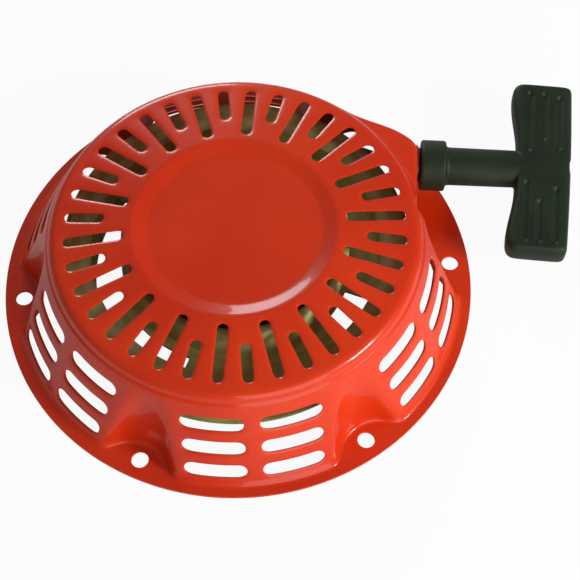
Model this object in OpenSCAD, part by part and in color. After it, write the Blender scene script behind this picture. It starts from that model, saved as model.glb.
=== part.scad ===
// Recoil starter for a large single-cylinder engine: a pressed cover with a rope reel,
// a spiral return spring, two ratchets and a T-grip on a cord.
// Millimetres. The mounting plane is z = 0, the reel turns about Z, the cord is pulled along +X.

/* [Cover] */
// Outside diameter of the mounting flange
flange_d = 238; // [225:1:290]
// Overall height of the cover
case_h = 55; // [52:0.5:70]
// Thickness of the pressed sheet
sheet_t = 1.4; // [1:0.1:2]
// Width of the flat lip outside the wall
lip_w = 5.4; // [4:0.1:8]
// Lean of the side wall from vertical, in degrees
wall_lean = 24.7; // [20:0.1:28]
// Rounding of the shoulder
shoulder_round = 5; // [3:0.5:7]
// Fall of the dome from its ring to its shoulder
dome_fall = 3.8; // [2:0.1:5]
// Radius of the raised ring round the centre disc
ring_r = 50.6; // [40:0.1:56]
// Radius of the recessed centre disc
disc_r = 42; // [30:0.5:46]
// Depth of the centre disc below the ring
disc_drop = 2.5; // [1:0.1:4]

/* [Mounting] */
// Diameter of a mounting hole
hole_d = 8.6; // [6:0.1:11]
// Distance of the hole circle inside the flange edge
hole_inset = 9.5; // [8:0.1:12]
// Radius of a pocket pressed in round a hole
pocket_r = 20; // [16:0.5:22]
// Angle of the first hole
hole_angle = 8.5; // [5:0.5:12]

/* [Air slots] */
// Width of a slot in the dome
top_slot_w = 5.3; // [4:0.1:6]
// Gap between the ring and a long slot
top_slot_gap = 3.4; // [2:0.1:6]
// How much shorter a short slot is
short_by = 10; // [5:0.5:15]
// Number of slots in the dome
top_slots = 36; // [24:12:36]
// Length of a slot in the wall
side_slot_l = 31; // [20:0.5:33]
// Height of a slot in the wall, along the slope
side_slot_h = 7.8; // [5:0.1:9]
// Bridge between the two slots of a row
side_bridge = 7; // [5:0.5:10]

/* [Cord] */
// Diameter of the cord
cord_d = 4.5; // [3:0.1:5.5]
// Turns of cord that stay level on the reel
cord_turns = 3; // [2:1:3]
// Height of the cord where it leaves the cover
outlet_z = 26; // [24:0.5:28]
// How far the outlet lies inside the line of the wound cord
outlet_in = 16.7; // [12:0.5:20]

/* [Reel] */
// Gap between the reel and the shoulder of the cover
reel_gap = 4.1; // [3:0.1:8]
// Depth of the cord groove
groove_depth = 12; // [10:0.5:14]
// Width of the web between the drum and the groove
web_w = 15.5; // [10:0.5:18]
// Thickness of the reel's plastic walls
reel_t = 2.5; // [2:0.1:3]
// Radius of the centre post
post_r = 8; // [6:0.1:10]
// Thickness of the spring strip
strip_t = 0.8; // [0.5:0.1:1.2]
// Pitch of the spring's turns
strip_pitch = 3.4; // [2.5:0.1:5]

/* [Ratchets] */
// Distance of a ratchet's pivot from the reel's axis
pivot_r = 21; // [19:0.5:23]
// Radius of a ratchet's pivot pin
pivot_pin_r = 3; // [2:0.1:3.6]
// Length of a ratchet from its pivot to its tip
ratchet_l = 20; // [16:0.5:22]
// Thickness of a ratchet
ratchet_t = 4.2; // [3:0.1:4.5]

/* [Grip] */
// Length of the T bar
bar_l = 99; // [80:1:120]
// Width of the T bar at its ends
bar_w = 31; // [26:0.5:36]
// Thickness of the T bar
bar_t = 15; // [12:0.5:18]
// Radius of the grip's stem
stem_r = 9.75; // [8:0.25:11]
// Length of the stem with its collar
stem_l = 47; // [40:0.5:60]
// Radius of the collar
collar_r = 13; // [11:0.25:15]
// Length of the collar
collar_l = 13; // [8:0.5:18]

/* [Hidden] */
$fn = 96;
eps = 0.01;
big = 400;

// Clearances
run_fit = 0.05;      // a shaft in its hole, on the radius
thread_fit = 0.03;   // the screw in the post, on the radius
clear = 0.3;         // faces that move past each other
cord_clear = 0.6;    // the still stretch of cord over the turning reel
cord_room = 0.4;     // the still turn under the reel's upper flange
guide_clear = 0.95;  // the cord in its eyelet, on the radius

// Cover
holes = 6;
flange_r = flange_d / 2;
foot_r = flange_r - lip_w;
hole_r = flange_r - hole_inset;
shoulder_z = case_h - 8.8;
fold_z = shoulder_z - 0.6;
fold_step = 0.9;
disc_z = case_h - disc_drop;
wall_skin = sheet_t / cos(wall_lean);
function wall_r(z) = foot_r - tan(wall_lean) * z;
shoulder_r = wall_r(shoulder_z) - fold_step;
slot_out_r = shoulder_r - shoulder_round - 2.9;
dome_slope = atan(dome_fall / (shoulder_r - shoulder_round - ring_r));

// Rows of slots in the wall, by the height of their middle
side_row_drop = 11.2;
side_row_pitch = 13;

// Pocket: an inclined cylinder that meets the wall near its top
pocket_top_z = shoulder_z - 3.6;
pocket_foot = foot_r - 11.2;
pocket_lean = atan((pocket_foot - wall_r(pocket_top_z)) / pocket_top_z);

// Outlet boss: a flat face across the cord, a corner and a back wall
boss_z = case_h - 11;
face_x = wall_r(boss_z) - 5.1;
corner_angle = 35;
back_angle = 70;
corner_out = wall_r(boss_z) + 13.2;
back_out = wall_r(boss_z) - 2.5;
boss_edge_r = flange_r - 4;
recess_y = 16;
eyelet_wall = 4.3;
eyelet_hole_r = cord_d / 2 + guide_clear + eyelet_wall;
eyelet_flange_r = eyelet_hole_r + 1.5;
neck_r = eyelet_hole_r + 2.5;
neck_l = 1;
eyelet_flange_t = 0.9;
eyelet_l = 7;

// Reel
reel_r = shoulder_r - sheet_t - reel_gap;
groove_r = reel_r - groove_depth;
groove_in = groove_r - reel_t;
drum_r = groove_in - web_w;
drum_t = 4;
reel_low = 12;
drum_top = case_h - 9;
drum_low = 20;
floor_z = 30;
floor_t = 3;
web_z = 24;
bearing_low = 20.5;
bearing_r = post_r + 5;
windows = [[153.5, 210.5], [225.5, 256.5], [324.5, 343.5]];
window_margin = 1.5;

// Cord
cord_r = cord_d / 2;
cord_pitch = cord_d + 0.3;
coil_low = reel_low + reel_t + 0.2 + cord_r;
wound_r = groove_r + cord_r;
still_r = wound_r + cord_clear;
still_z = coil_low + cord_turns * cord_pitch;
reel_top = still_z + cord_r + cord_room + reel_t;
outlet_y = wound_r - outlet_in;
eyelet_in_x = face_x + neck_l - eyelet_l;
bend_x = eyelet_in_x + 1;
bend_far = norm([bend_x, outlet_y]);
leave_angle = atan2(outlet_y, bend_x) + acos(still_r / bend_far);
still_sweep = 290;
still_steps = 44;
anchor_angle = 45;
anchor_z = coil_low;
reel_knot_r = cord_r + 1.95;

// Post, plate and screw
plate_t = 1.5;
plate_r = disc_r - 4;
plate_z = disc_z - sheet_t - plate_t;
arbor_r = post_r + 4;
post_flange_r = arbor_r + 6;
post_flange_t = 2;
arbor_low = floor_z + clear;
spigot_r = post_r - 2;
spigot_top = bearing_low - clear;
spigot_low = 13.9;
screw_r = 3;
washer_t = 1.2;
washer_r = spigot_r + 3.5;
head_t = 4.2;
head_r = 5.8;

// Return spring in the drum
spring_w = drum_top - floor_z - 2;
spring_in = arbor_r + clear;
spring_out = drum_r - drum_t - strip_t - clear;
spring_turns = (spring_out - spring_in) / strip_pitch;
spring_steps = ceil(spring_turns * 24);
hook_in = 3;

// Ratchets and their guide
fold_in = 15;
ratchet_z = 20.4;
drive_at = 9;
drive_r = 1.5;
slot_half = 2.5;
guide_z = 17.5;
guide_t = 2.4;
guide_r = 29.5;
guide_turn = 25;
ratchet_turn = 35;
guide_hub_r = spigot_r + 3;
guide_hub_low = spigot_low + clear;
torsion_r = pivot_pin_r + 1.1;
torsion_wire_r = 0.4;
friction_wire_r = 0.8;

// Grip
grip_x = face_x + neck_l + eyelet_flange_t + clear;
bar_x = grip_x + stem_l;
grip_bore_r = cord_r + 0.5;
pocket_depth = 15;
grip_knot_r = cord_d;
knot_pocket_r = grip_knot_r + 1.1;
grip_washer_t = 1.2;
finger_grooves = [[5.5, 14, 43], [14, 17, 43], [22.5, 15, 43]];

// Points of an arc about c, from angle a to angle b
function arc(c, r, a, b, n) = [for (i = [0 : n]) let (t = a + (b - a) * i / n) c + r * [cos(t), sin(t)]];

// Outline of the cover's body, t inside its outer skin, down to its foot
function body_outline(t, foot) = concat(
    [[0, foot[len(foot) - 1][1]], [0, disc_z - t], [disc_r, disc_z - t], [ring_r, case_h - t]],
    arc([shoulder_r - shoulder_round, shoulder_z], shoulder_round - t, 90 - dome_slope, 0, 8),
    [[wall_r(fold_z) - t / cos(wall_lean), fold_z]],
    foot
);

// A slot with round ends along X, centred
module stadium(l, w) {
    square([l - w, w], center = true);
    for (s = [-1, 1]) translate([s * (l - w) / 2, 0]) circle(d = w);
}

// Everything inside an inclined plane that stands off at an angle
module half_space(angle, out, lean) {
    rotate([0, 0, angle]) translate([out, 0, boss_z]) rotate([0, -lean, 0])
        translate([-big, -big / 2, -big / 2]) cube([big, big, big]);
}

// The outlet boss, t inside its outer skin
module boss(t) {
    intersection() {
        half_space(corner_angle, corner_out - wall_skin * t / sheet_t, wall_lean);
        half_space(back_angle, back_out - wall_skin * t / sheet_t, wall_lean);
        translate([20, 20, (t > 0 ? -1 : 0)]) cube([face_x - t - 20, big, boss_z - t + (t > 0 ? 1 : 0)]);
        translate([0, 0, (t > 0 ? -1 : 0)]) cylinder(r = boss_edge_r - t, h = case_h);
    }
}

// The pockets round the mounting holes, t outside their skin
module pockets(t) {
    for (k = [0 : holes - 1]) rotate([0, 0, hole_angle + k * 360 / holes])
        translate([pocket_foot + pocket_r, 0, 0]) rotate([0, -pocket_lean, 0])
            translate([0, 0, -20]) cylinder(r = pocket_r + t, h = case_h + 30);
}

// The flat recess beside the boss's face, above height z
module face_recess(t, z) {
    translate([face_x - t, recess_y, z]) cube([big, big, big]);
}

module cover_outside() {
    difference() {
        union() {
            rotate_extrude() polygon(body_outline(0, [[wall_r(0), 0]]));
            boss(0);
        }
        pockets(0);
        face_recess(0, sheet_t);
    }
    cylinder(r = flange_r, h = sheet_t);
}

module cover_inside() {
    difference() {
        union() {
            rotate_extrude() polygon(body_outline(sheet_t, [[wall_r(-1) - wall_skin, -1]]));
            boss(sheet_t);
        }
        pockets(sheet_t);
        face_recess(sheet_t, -2);
    }
}

module top_slot_cuts() {
    for (k = [0 : top_slots - 1]) {
        from_r = ring_r + top_slot_gap + (k % 2) * short_by;
        rotate([0, 0, hole_angle + k * 360 / top_slots])
            translate([(from_r + slot_out_r) / 2, 0, shoulder_z - shoulder_round])
                linear_extrude(20) stadium(slot_out_r - from_r, top_slot_w);
    }
}

module side_slot_cuts() {
    rows = [for (k = [0 : 2]) shoulder_z - side_row_drop - side_row_pitch * k];
    for (k = [1 : holes - 1], z = rows, s = [-1, 1]) {
        out_r = wall_r(z);
        turn = s * (side_slot_l + side_bridge) / 2 / out_r * 180 / PI;
        rotate([0, 0, hole_angle + (k + 0.5) * 360 / holes + turn])
            translate([out_r, 0, z]) rotate([0, 90 - wall_lean, 0]) rotate([0, 0, 90])
                translate([0, 0, -8]) linear_extrude(16) stadium(side_slot_l, side_slot_h);
    }
}

// Moves its children to the cord's outlet, with Z along the pull
module at_outlet(x) {
    translate([x, outlet_y, outlet_z]) rotate([0, 90, 0]) children();
}

module case() {
    color("orangered") difference() {
        union() {
            difference() {
                cover_outside();
                cover_inside();
            }
            at_outlet(face_x - sheet_t) cylinder(r = neck_r, h = sheet_t + neck_l);
        }
        at_outlet(face_x - 5) cylinder(r = eyelet_hole_r + run_fit, h = 10);
        for (k = [0 : holes - 1]) rotate([0, 0, hole_angle + k * 360 / holes])
            translate([hole_r, 0, -1]) cylinder(d = hole_d, h = sheet_t + 2);
        top_slot_cuts();
        side_slot_cuts();
    }
}

module post_plate() {
    color("gray") translate([0, 0, plate_z]) difference() {
        cylinder(r = plate_r, h = plate_t);
        translate([0, 0, -1]) cylinder(r = post_r + run_fit, h = plate_t + 2);
    }
}

module center_post() {
    color("silver") difference() {
        union() {
            translate([0, 0, spigot_low]) cylinder(r = spigot_r, h = disc_z - sheet_t - spigot_low);
            translate([0, 0, spigot_top]) cylinder(r = post_r, h = disc_z - sheet_t - spigot_top);
            translate([0, 0, arbor_low]) cylinder(r = arbor_r, h = plate_z - arbor_low);
            translate([0, 0, plate_z - post_flange_t]) cylinder(r = post_flange_r, h = post_flange_t);
        }
        translate([0, 0, spigot_low - 1]) cylinder(r = screw_r, h = 21);
        translate([arbor_r - hook_in - clear, -strip_t - clear / 2, arbor_low - 1])
            cube([hook_in + 1, strip_t + clear, spring_w + 2]);
    }
}

module set_screw() {
    color("silver") {
        translate([0, 0, spigot_low - washer_t - head_t]) cylinder(r = head_r, h = head_t, $fn = 6);
        translate([0, 0, spigot_low - washer_t - eps]) cylinder(r = screw_r - thread_fit, h = 19);
    }
}

module set_washer() {
    color("gainsboro") translate([0, 0, spigot_low - washer_t]) difference() {
        cylinder(r = washer_r, h = washer_t);
        translate([0, 0, -1]) cylinder(r = screw_r + 0.2, h = washer_t + 2);
    }
}

module rope_guide() {
    bore_r = cord_r + guide_clear;
    color("dimgray") difference() {
        union() {
            at_outlet(eyelet_in_x) cylinder(r = eyelet_hole_r, h = eyelet_l + eps);
            at_outlet(face_x + neck_l) cylinder(r = eyelet_flange_r, h = eyelet_flange_t);
        }
        at_outlet(eyelet_in_x - 1) cylinder(r = bore_r, h = eyelet_l + 4);
        at_outlet(eyelet_in_x - eps) cylinder(r1 = bore_r + 2, r2 = bore_r, h = 3);
        at_outlet(face_x + neck_l + eyelet_flange_t - 2 + eps)
            cylinder(r1 = bore_r, r2 = bore_r + 1.5, h = 2);
    }
}

module reel() {
    pin_low = ratchet_z - 0.2;
    color("khaki") difference() {
        union() {
            rotate_extrude() polygon([
                [post_r + run_fit, bearing_low], [bearing_r, bearing_low], [bearing_r, floor_z - floor_t],
                [drum_r - drum_t, floor_z - floor_t], [drum_r - drum_t, drum_low], [drum_r, drum_low],
                [drum_r, web_z], [groove_in, web_z], [groove_in, reel_low], [reel_r, reel_low],
                [reel_r, reel_low + reel_t], [groove_r, reel_low + reel_t], [groove_r, reel_top - reel_t],
                [reel_r, reel_top - reel_t], [reel_r, reel_top], [groove_in, reel_top],
                [groove_in, web_z + reel_t], [drum_r, web_z + reel_t], [drum_r, drum_top],
                [drum_r - drum_t, drum_top], [drum_r - drum_t, floor_z], [post_r + run_fit, floor_z]
            ]);
            for (s = [0, 180]) rotate([0, 0, s]) translate([pivot_r, 0, pin_low])
                cylinder(r = pivot_pin_r, h = floor_z - 1 - pin_low);
        }
        for (w = windows) rotate([0, 0, w[0]]) rotate_extrude(angle = w[1] - w[0])
            translate([drum_r + window_margin, web_z - 1])
                square([groove_in - drum_r - 2 * window_margin + 1, reel_t + 2]);
        rotate([0, 0, anchor_angle]) translate([groove_in - 2, 0, anchor_z]) rotate([0, 90, 0])
            cylinder(r = cord_r + 0.2, h = reel_t + 4);
    }
}

module recoil_spring() {
    function at(i) = 360 * spring_turns * i / spring_steps;
    function out(i) = spring_in + (spring_out - spring_in) * i / spring_steps;
    inner = [for (i = [0 : spring_steps]) out(i) * [cos(at(i)), sin(at(i))]];
    outer = [for (i = [spring_steps : -1 : 0]) (out(i) + strip_t) * [cos(at(i)), sin(at(i))]];
    hook = [[spring_in + strip_t, -strip_t], [arbor_r - hook_in, -strip_t], [arbor_r - hook_in, 0]];
    color("slategray") translate([0, 0, floor_z + clear]) linear_extrude(spring_w)
        polygon(concat(inner, outer, hook));
}

module rope_coil() {
    color("ivory") rotate_extrude() for (k = [0 : cord_turns - 1])
        translate([wound_r + 0.02, coil_low + k * cord_pitch]) circle(r = cord_r, $fn = 32);
    color("ivory") rotate_extrude() translate([groove_r + 0.02, coil_low])
        square([cord_r, (cord_turns - 1) * cord_pitch]);
}

module reel_knot() {
    color("ivory") rotate([0, 0, anchor_angle]) translate([0, 0, anchor_z]) {
        translate([groove_in - reel_knot_r - 0.2, 0, 0]) sphere(r = reel_knot_r, $fn = 48);
        translate([groove_in - reel_knot_r, 0, 0]) rotate([0, 90, 0])
            cylinder(r = cord_r, h = groove_r - groove_in + reel_knot_r - 0.1);
    }
}

// Points of a tube's ring, and the tube along a path that is never vertical
function unit(v) = v / norm(v);
function heading(p, i) = unit(p[min(i + 1, len(p) - 1)] - p[max(i - 1, 0)]);
function tube_ring(c, t, r, n) = let (s = unit(cross(t, [0, 0, 1])), u = cross(s, t))
    [for (k = [0 : n - 1]) c + r * (cos(360 * k / n) * s + sin(360 * k / n) * u)];

module tube(path, r, n = 12) {
    points = [for (i = [0 : len(path) - 1]) each tube_ring(path[i], heading(path, i), r, n)];
    last = (len(path) - 1) * n;
    sides = [for (i = [0 : len(path) - 2], k = [0 : n - 1])
        [i * n + k, i * n + (k + 1) % n, (i + 1) * n + (k + 1) % n, (i + 1) * n + k]];
    polyhedron(points, concat(sides, [[for (k = [n - 1 : -1 : 0]) k], [for (k = [0 : n - 1]) last + k]]));
}

// The last turn and the straight run out to the eyelet, level at first to clear the turns below
module rope_run() {
    wrap = [for (i = [0 : still_steps]) let (a = leave_angle + still_sweep * (1 - i / still_steps))
        [still_r * cos(a), still_r * sin(a), still_z]];
    leave = wrap[still_steps];
    bend = [bend_x, outlet_y, outlet_z];
    way = bend - leave;
    color("ivory") tube(concat(wrap, [
        [leave[0] + 0.35 * way[0], leave[1] + 0.35 * way[1], still_z],
        [leave[0] + 0.7 * way[0], leave[1] + 0.7 * way[1], still_z + 0.5 * way[2]],
        bend,
        bend + [1, 0, 0]
    ]), cord_r);
}

module ratchet() {
    color("silver") difference() {
        union() {
            translate([0, 0, ratchet_z]) linear_extrude(ratchet_t) {
                circle(r = pivot_pin_r + 2.5);
                polygon([
                    [-5, 1], [5, 1], [4.2, -0.6 * ratchet_l], [3, -0.8 * ratchet_l],
                    [4.5, -ratchet_l + 1], [1.5, -ratchet_l - 1], [-3, -ratchet_l + 1]
                ]);
            }
            translate([0, -drive_at, guide_z - 0.5]) cylinder(r = drive_r, h = ratchet_z - guide_z + 1);
        }
        translate([0, 0, ratchet_z - 1]) cylinder(r = pivot_pin_r + run_fit, h = ratchet_t + 2);
    }
}

module ratchet_a() {
    translate([pivot_r, 0, 0]) rotate([0, 0, -fold_in]) ratchet();
}

module ratchet_b() {
    rotate([0, 0, 180]) ratchet_a();
}

module ratchet_spring() {
    coil_z = ratchet_z + ratchet_t + clear + torsion_wire_r;
    color("dimgray") translate([pivot_r, 0, coil_z]) {
        rotate_extrude() for (k = [0 : 1])
            translate([torsion_r, 0.7 * k]) circle(r = torsion_wire_r, $fn = 24);
        translate([torsion_r, 0, 0.35]) rotate([90, 0, 0]) cylinder(r = torsion_wire_r, h = 8, $fn = 24);
    }
}

module ratchet_spring_a() {
    ratchet_spring();
}

module ratchet_spring_b() {
    rotate([0, 0, 180]) ratchet_spring();
}

// Where a ratchet's drive pin stands, at a swing out of its rest place
function drive_pin(swing) = [pivot_r, 0] + drive_at * [-sin(fold_in - swing), -cos(fold_in - swing)];

module ratchet_guide() {
    start = drive_pin(0);
    turned = drive_pin(ratchet_turn);
    stop = [turned[0] * cos(guide_turn) + turned[1] * sin(guide_turn),
        turned[1] * cos(guide_turn) - turned[0] * sin(guide_turn)];
    run = stop - start;
    color("darkslategray") difference() {
        union() {
            translate([0, 0, guide_z]) cylinder(r = guide_r, h = guide_t);
            translate([0, 0, guide_hub_low]) cylinder(r = guide_hub_r, h = guide_z - guide_hub_low + eps);
        }
        translate([0, 0, guide_hub_low - 1]) cylinder(r = spigot_r + run_fit, h = 10);
        for (s = [0, 180]) rotate([0, 0, s])
            translate([(start[0] + stop[0]) / 2, (start[1] + stop[1]) / 2, guide_z - 1])
                rotate([0, 0, atan2(run[1], run[0])])
                    linear_extrude(guide_t + 2) stadium(norm(run) + 2 * slot_half, 2 * slot_half);
    }
}

module friction_spring() {
    wire_z = (guide_hub_low + guide_z) / 2;
    color("silver") translate([0, 0, wire_z]) {
        rotate([0, 0, 30]) rotate_extrude(angle = 300)
            translate([guide_hub_r + friction_wire_r + 0.02, 0]) circle(r = friction_wire_r, $fn = 24);
        for (s = [-1, 1]) rotate([0, 0, s * 30]) translate([guide_hub_r + friction_wire_r + 0.02, 0, 0])
            rotate([0, 90, 0]) cylinder(r = friction_wire_r, h = 8, $fn = 24);
    }
}

// Plan of the T bar about the cord's line, with its inner side at x = 0
module bar_plan() {
    half = bar_l / 2;
    corner = 7;
    waist = 3.5;
    polygon(concat(
        [[waist, -14], [0.3, -half + 22]],
        arc([corner, -half + corner], corner, 180, 270, 6),
        arc([bar_w - 5, -half + 5], 5, 270, 360, 5),
        [[bar_w + 0.8, 0]],
        arc([bar_w - 5, half - 5], 5, 0, 90, 5),
        arc([corner, half - corner], corner, 90, 180, 6),
        [[0.3, half - 22], [waist, 14]]
    ));
}

// Section of the T bar across its length
module bar_section() {
    edge = 4;
    translate([edge, -bar_t / 2]) square([bar_w + 1 - 2 * edge, bar_t]);
    translate([0, -bar_t / 2 + edge]) square([bar_w + 1, bar_t - 2 * edge]);
    for (x = [edge, bar_w + 1 - edge], y = [-1, 1] * (bar_t / 2 - edge))
        translate([x, y]) circle(r = edge);
}

module grip() {
    color([0.2, 0.23, 0.17]) difference() {
        union() {
            at_outlet(grip_x) cylinder(r = collar_r, h = collar_l);
            at_outlet(grip_x + collar_l - eps) cylinder(r = stem_r, h = stem_l - collar_l + 12);
            translate([bar_x, outlet_y, outlet_z]) intersection() {
                translate([0, 0, -bar_t]) linear_extrude(2 * bar_t) bar_plan();
                translate([0, bar_l, 0]) rotate([90, 0, 0]) linear_extrude(2 * bar_l) bar_section();
            }
        }
        at_outlet(grip_x - 1) cylinder(r = grip_bore_r, h = stem_l + bar_w + 4);
        at_outlet(bar_x + bar_w + 1 - pocket_depth) cylinder(r = knot_pocket_r, h = pocket_depth + 1);
        for (g = finger_grooves, s = [-1, 1])
            translate([bar_x + g[0] + 1.5, outlet_y + s * (g[1] + g[2]) / 2, outlet_z + bar_t / 2 - 1.2])
                rotate([0, 0, 90]) linear_extrude(3) stadium(g[2] - g[1], 3.2);
    }
}

module rope_pull() {
    color("ivory") at_outlet(bend_x + 1.1)
        cylinder(r = cord_r, h = bar_x + bar_w - pocket_depth + 3 - bend_x - 1.1, $fn = 32);
}

module grip_washer() {
    color("silver") at_outlet(bar_x + bar_w + 1 - pocket_depth) difference() {
        cylinder(r = knot_pocket_r - 0.2, h = grip_washer_t);
        translate([0, 0, -1]) cylinder(r = cord_r + 0.2, h = grip_washer_t + 2);
    }
}

module grip_knot() {
    color("ivory") difference() {
        at_outlet(bar_x + bar_w + 1 - pocket_depth + grip_washer_t + grip_knot_r + 0.05)
            sphere(r = grip_knot_r, $fn = 48);
        at_outlet(bar_x + bar_w - pocket_depth) cylinder(r = cord_r + 0.02, h = 3 + eps, $fn = 32);
    }
}

case();
post_plate();
center_post();
set_screw();
set_washer();
rope_guide();
reel();
recoil_spring();
rope_coil();
reel_knot();
rope_run();
ratchet_a();
ratchet_b();
ratchet_spring_a();
ratchet_spring_b();
ratchet_guide();
friction_spring();
grip();
rope_pull();
grip_washer();
grip_knot();
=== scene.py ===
# %% [markdown]
# # Recoil starter with a T-grip
# A pressed-steel cover holds a nylon reel, a spiral spring and two ratchets; a cord leads out of
# the cover's boss to a T-shaped grip. The frame gives every place and size, and each visible
# piece is modelled around it. The drawings below are in millimetres and become metres at the end.

# %% Load the frame
import math

import bmesh
import bpy
from mathutils import Matrix, Quaternion, Vector


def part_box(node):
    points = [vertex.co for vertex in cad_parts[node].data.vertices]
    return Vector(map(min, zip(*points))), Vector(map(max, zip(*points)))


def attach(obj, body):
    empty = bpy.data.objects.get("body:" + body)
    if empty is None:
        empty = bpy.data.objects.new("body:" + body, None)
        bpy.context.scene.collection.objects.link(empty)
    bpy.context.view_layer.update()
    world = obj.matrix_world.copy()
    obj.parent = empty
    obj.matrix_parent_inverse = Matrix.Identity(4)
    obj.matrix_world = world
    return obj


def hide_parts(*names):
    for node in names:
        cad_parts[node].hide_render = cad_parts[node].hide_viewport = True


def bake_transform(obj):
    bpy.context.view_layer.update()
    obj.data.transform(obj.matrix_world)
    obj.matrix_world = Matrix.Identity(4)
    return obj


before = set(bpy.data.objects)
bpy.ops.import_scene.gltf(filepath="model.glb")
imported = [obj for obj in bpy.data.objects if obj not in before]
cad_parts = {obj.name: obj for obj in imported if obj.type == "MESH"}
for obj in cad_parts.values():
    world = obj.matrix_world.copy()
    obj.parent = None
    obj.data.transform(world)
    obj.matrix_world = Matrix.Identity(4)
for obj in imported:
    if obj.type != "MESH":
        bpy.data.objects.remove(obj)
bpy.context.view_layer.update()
MM = 0.001


# %% Places of the nodes, in millimetres
def corner_low(node):
    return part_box(node)[0] / MM


def corner_high(node):
    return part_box(node)[1] / MM


flange_r = corner_high("case").x
case_h = corner_high("case").z
outlet_y = (corner_low("rope_guide").y + corner_high("rope_guide").y) / 2
outlet_z = (corner_low("rope_guide").z + corner_high("rope_guide").z) / 2
eyelet_flange_t = 0.9
neck_l = 1.0
face_x = corner_high("rope_guide").x - eyelet_flange_t - neck_l
print(f"flange radius {flange_r:.1f}, height {case_h:.1f}, outlet at y {outlet_y:.1f} z {outlet_z:.1f}")

# %% [markdown]
# ## Shader maths
# A finish varies a little over its surface: a broad change of tone, a fine grain, a light bump.
# Nodes can be linked one by one, which is long and hard to read. Instead one small class wraps a
# node's output and overloads the operators, so that a mask is written as a plain expression.

# %% Shader classes
class Wire:
    """An output of a shader node that can be used in sums."""

    def __init__(self, finish, socket):
        self.finish = finish
        self.socket = socket

    def math(self, operation, *values):
        return self.finish.add("ShaderNodeMath", {"operation": operation}, values)

    def __add__(self, other):
        return self.math("ADD", self, other)

    def __sub__(self, other):
        return self.math("SUBTRACT", self, other)

    def __mul__(self, other):
        return self.math("MULTIPLY", self, other)

    __radd__ = __add__
    __rmul__ = __mul__

    def sine(self):
        return self.math("SINE", self)

    def larger(self, other):
        return self.math("MAXIMUM", self, other)


class Nodes:
    """A node tree that nodes are added to."""

    def __init__(self, tree):
        self.tree = tree

    def put(self, socket, value):
        if isinstance(value, Wire):
            self.tree.links.new(value.socket, socket)
        else:
            socket.default_value = value

    def add(self, kind, settings=None, sockets=(), output=0):
        """Adds a node: its settings first, then the values or wires of its sockets."""
        node = self.tree.nodes.new(kind)
        for key, value in (settings or {}).items():
            if key == "stops":
                for stop, (place, tone) in zip(node.color_ramp.elements, value):
                    stop.position = place
                    stop.color = (tone, tone, tone, 1)
            else:
                setattr(node, key, value)
        for key, value in (sockets.items() if isinstance(sockets, dict) else enumerate(sockets)):
            self.put(node.inputs[key], value)
        return Wire(self, node.outputs[output])


class Finish(Nodes):
    """A material with one Principled shader. Numbers are set on it, and wires are linked to it."""

    def __init__(self, name, **shader):
        self.material = bpy.data.materials.new(name)
        self.material.use_nodes = True
        super().__init__(self.material.node_tree)
        self.shader = self.tree.nodes["Principled BSDF"]
        self.set(**shader)

    def set(self, **shader):
        for key, value in shader.items():
            self.put(self.shader.inputs[key.replace("_", " ").title().replace("Ior", "IOR")], value)

    def place(self):
        return self.add("ShaderNodeTexCoord", output="Object")

    def noise(self, scale, detail=3.0, at=None):
        """Soft noise from 0 to 1; scale is in waves a metre."""
        sockets = {"Vector": at or self.place(), "Scale": scale, "Detail": detail}
        return self.add("ShaderNodeTexNoise", {}, sockets)

    def steps(self, value, low, high):
        """0 below low and 1 above high."""
        return self.add("ShaderNodeValToRGB", {"stops": [(low, 0.0), (high, 1.0)]}, [value])

    def mix(self, mask, first, second):
        """A colour between two others."""
        return self.add("ShaderNodeMix", {"data_type": "RGBA"}, {0: mask, 6: first, 7: second}, 2)

    def bump(self, height, strength, distance):
        sockets = {"Strength": strength, "Distance": distance, "Height": height}
        self.set(normal=self.add("ShaderNodeBump", {}, sockets))


def tone(red, green, blue):
    return (red, green, blue, 1.0)


print("shader classes ready")

# %% [markdown]
# ## Finishes
# The cover is sprayed with a thick gloss enamel: a deep orange-red under a clear coat, with the
# faint orange-peel ripple of spray paint. A single gloss colour would look like plastic, so the
# red drifts slightly in tone and the ripple goes into the normal.

# %% Enamel of the cover
def red_enamel():
    enamel = Finish("red_enamel", coat_weight=0.4, coat_roughness=0.05, ior=1.4)
    enamel.set(specular_ior_level=0.3)
    drift = enamel.noise(14.0, 2.0)
    pigment = enamel.noise(900.0, 2.0)
    mask = enamel.steps(drift * 0.7 + pigment * 0.3, 0.32, 0.68)
    enamel.set(base_color=enamel.mix(mask, tone(0.57, 0.020, 0.001), tone(0.70, 0.040, 0.0025)))
    enamel.set(roughness=0.26 + drift * 0.1)
    enamel.bump(enamel.noise(420.0, 1.0), 0.12, 0.0004)
    return enamel.material


enamel_finish = red_enamel()
print(enamel_finish.name)

# %% [markdown]
# The grip is moulded in a black rubbery plastic with a green cast. It is semi-matte, finely
# grained by the mould, and its highlights are broad.

# %% Moulded grip
def grip_black():
    rubber = Finish("grip_black", ior=1.48)
    rubber.set(specular_ior_level=0.3)
    grain = rubber.noise(2400.0, 3.0)
    drift = rubber.noise(40.0, 3.0)
    mask = rubber.steps(drift, 0.35, 0.65)
    rubber.set(base_color=rubber.mix(mask, tone(0.007, 0.014, 0.005), tone(0.013, 0.024, 0.009)))
    rubber.set(roughness=0.42 + grain * 0.2)
    rubber.bump(grain * 0.7 + drift * 0.3, 0.3, 0.00025)
    return rubber.material


grip_finish = grip_black()
print(grip_finish.name)

# %% [markdown]
# The reel is natural nylon: an ivory, slightly waxy plastic with faint flow marks from its gate.
# The flow marks follow rings about the axis, so they come from the distance to that axis.

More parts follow.
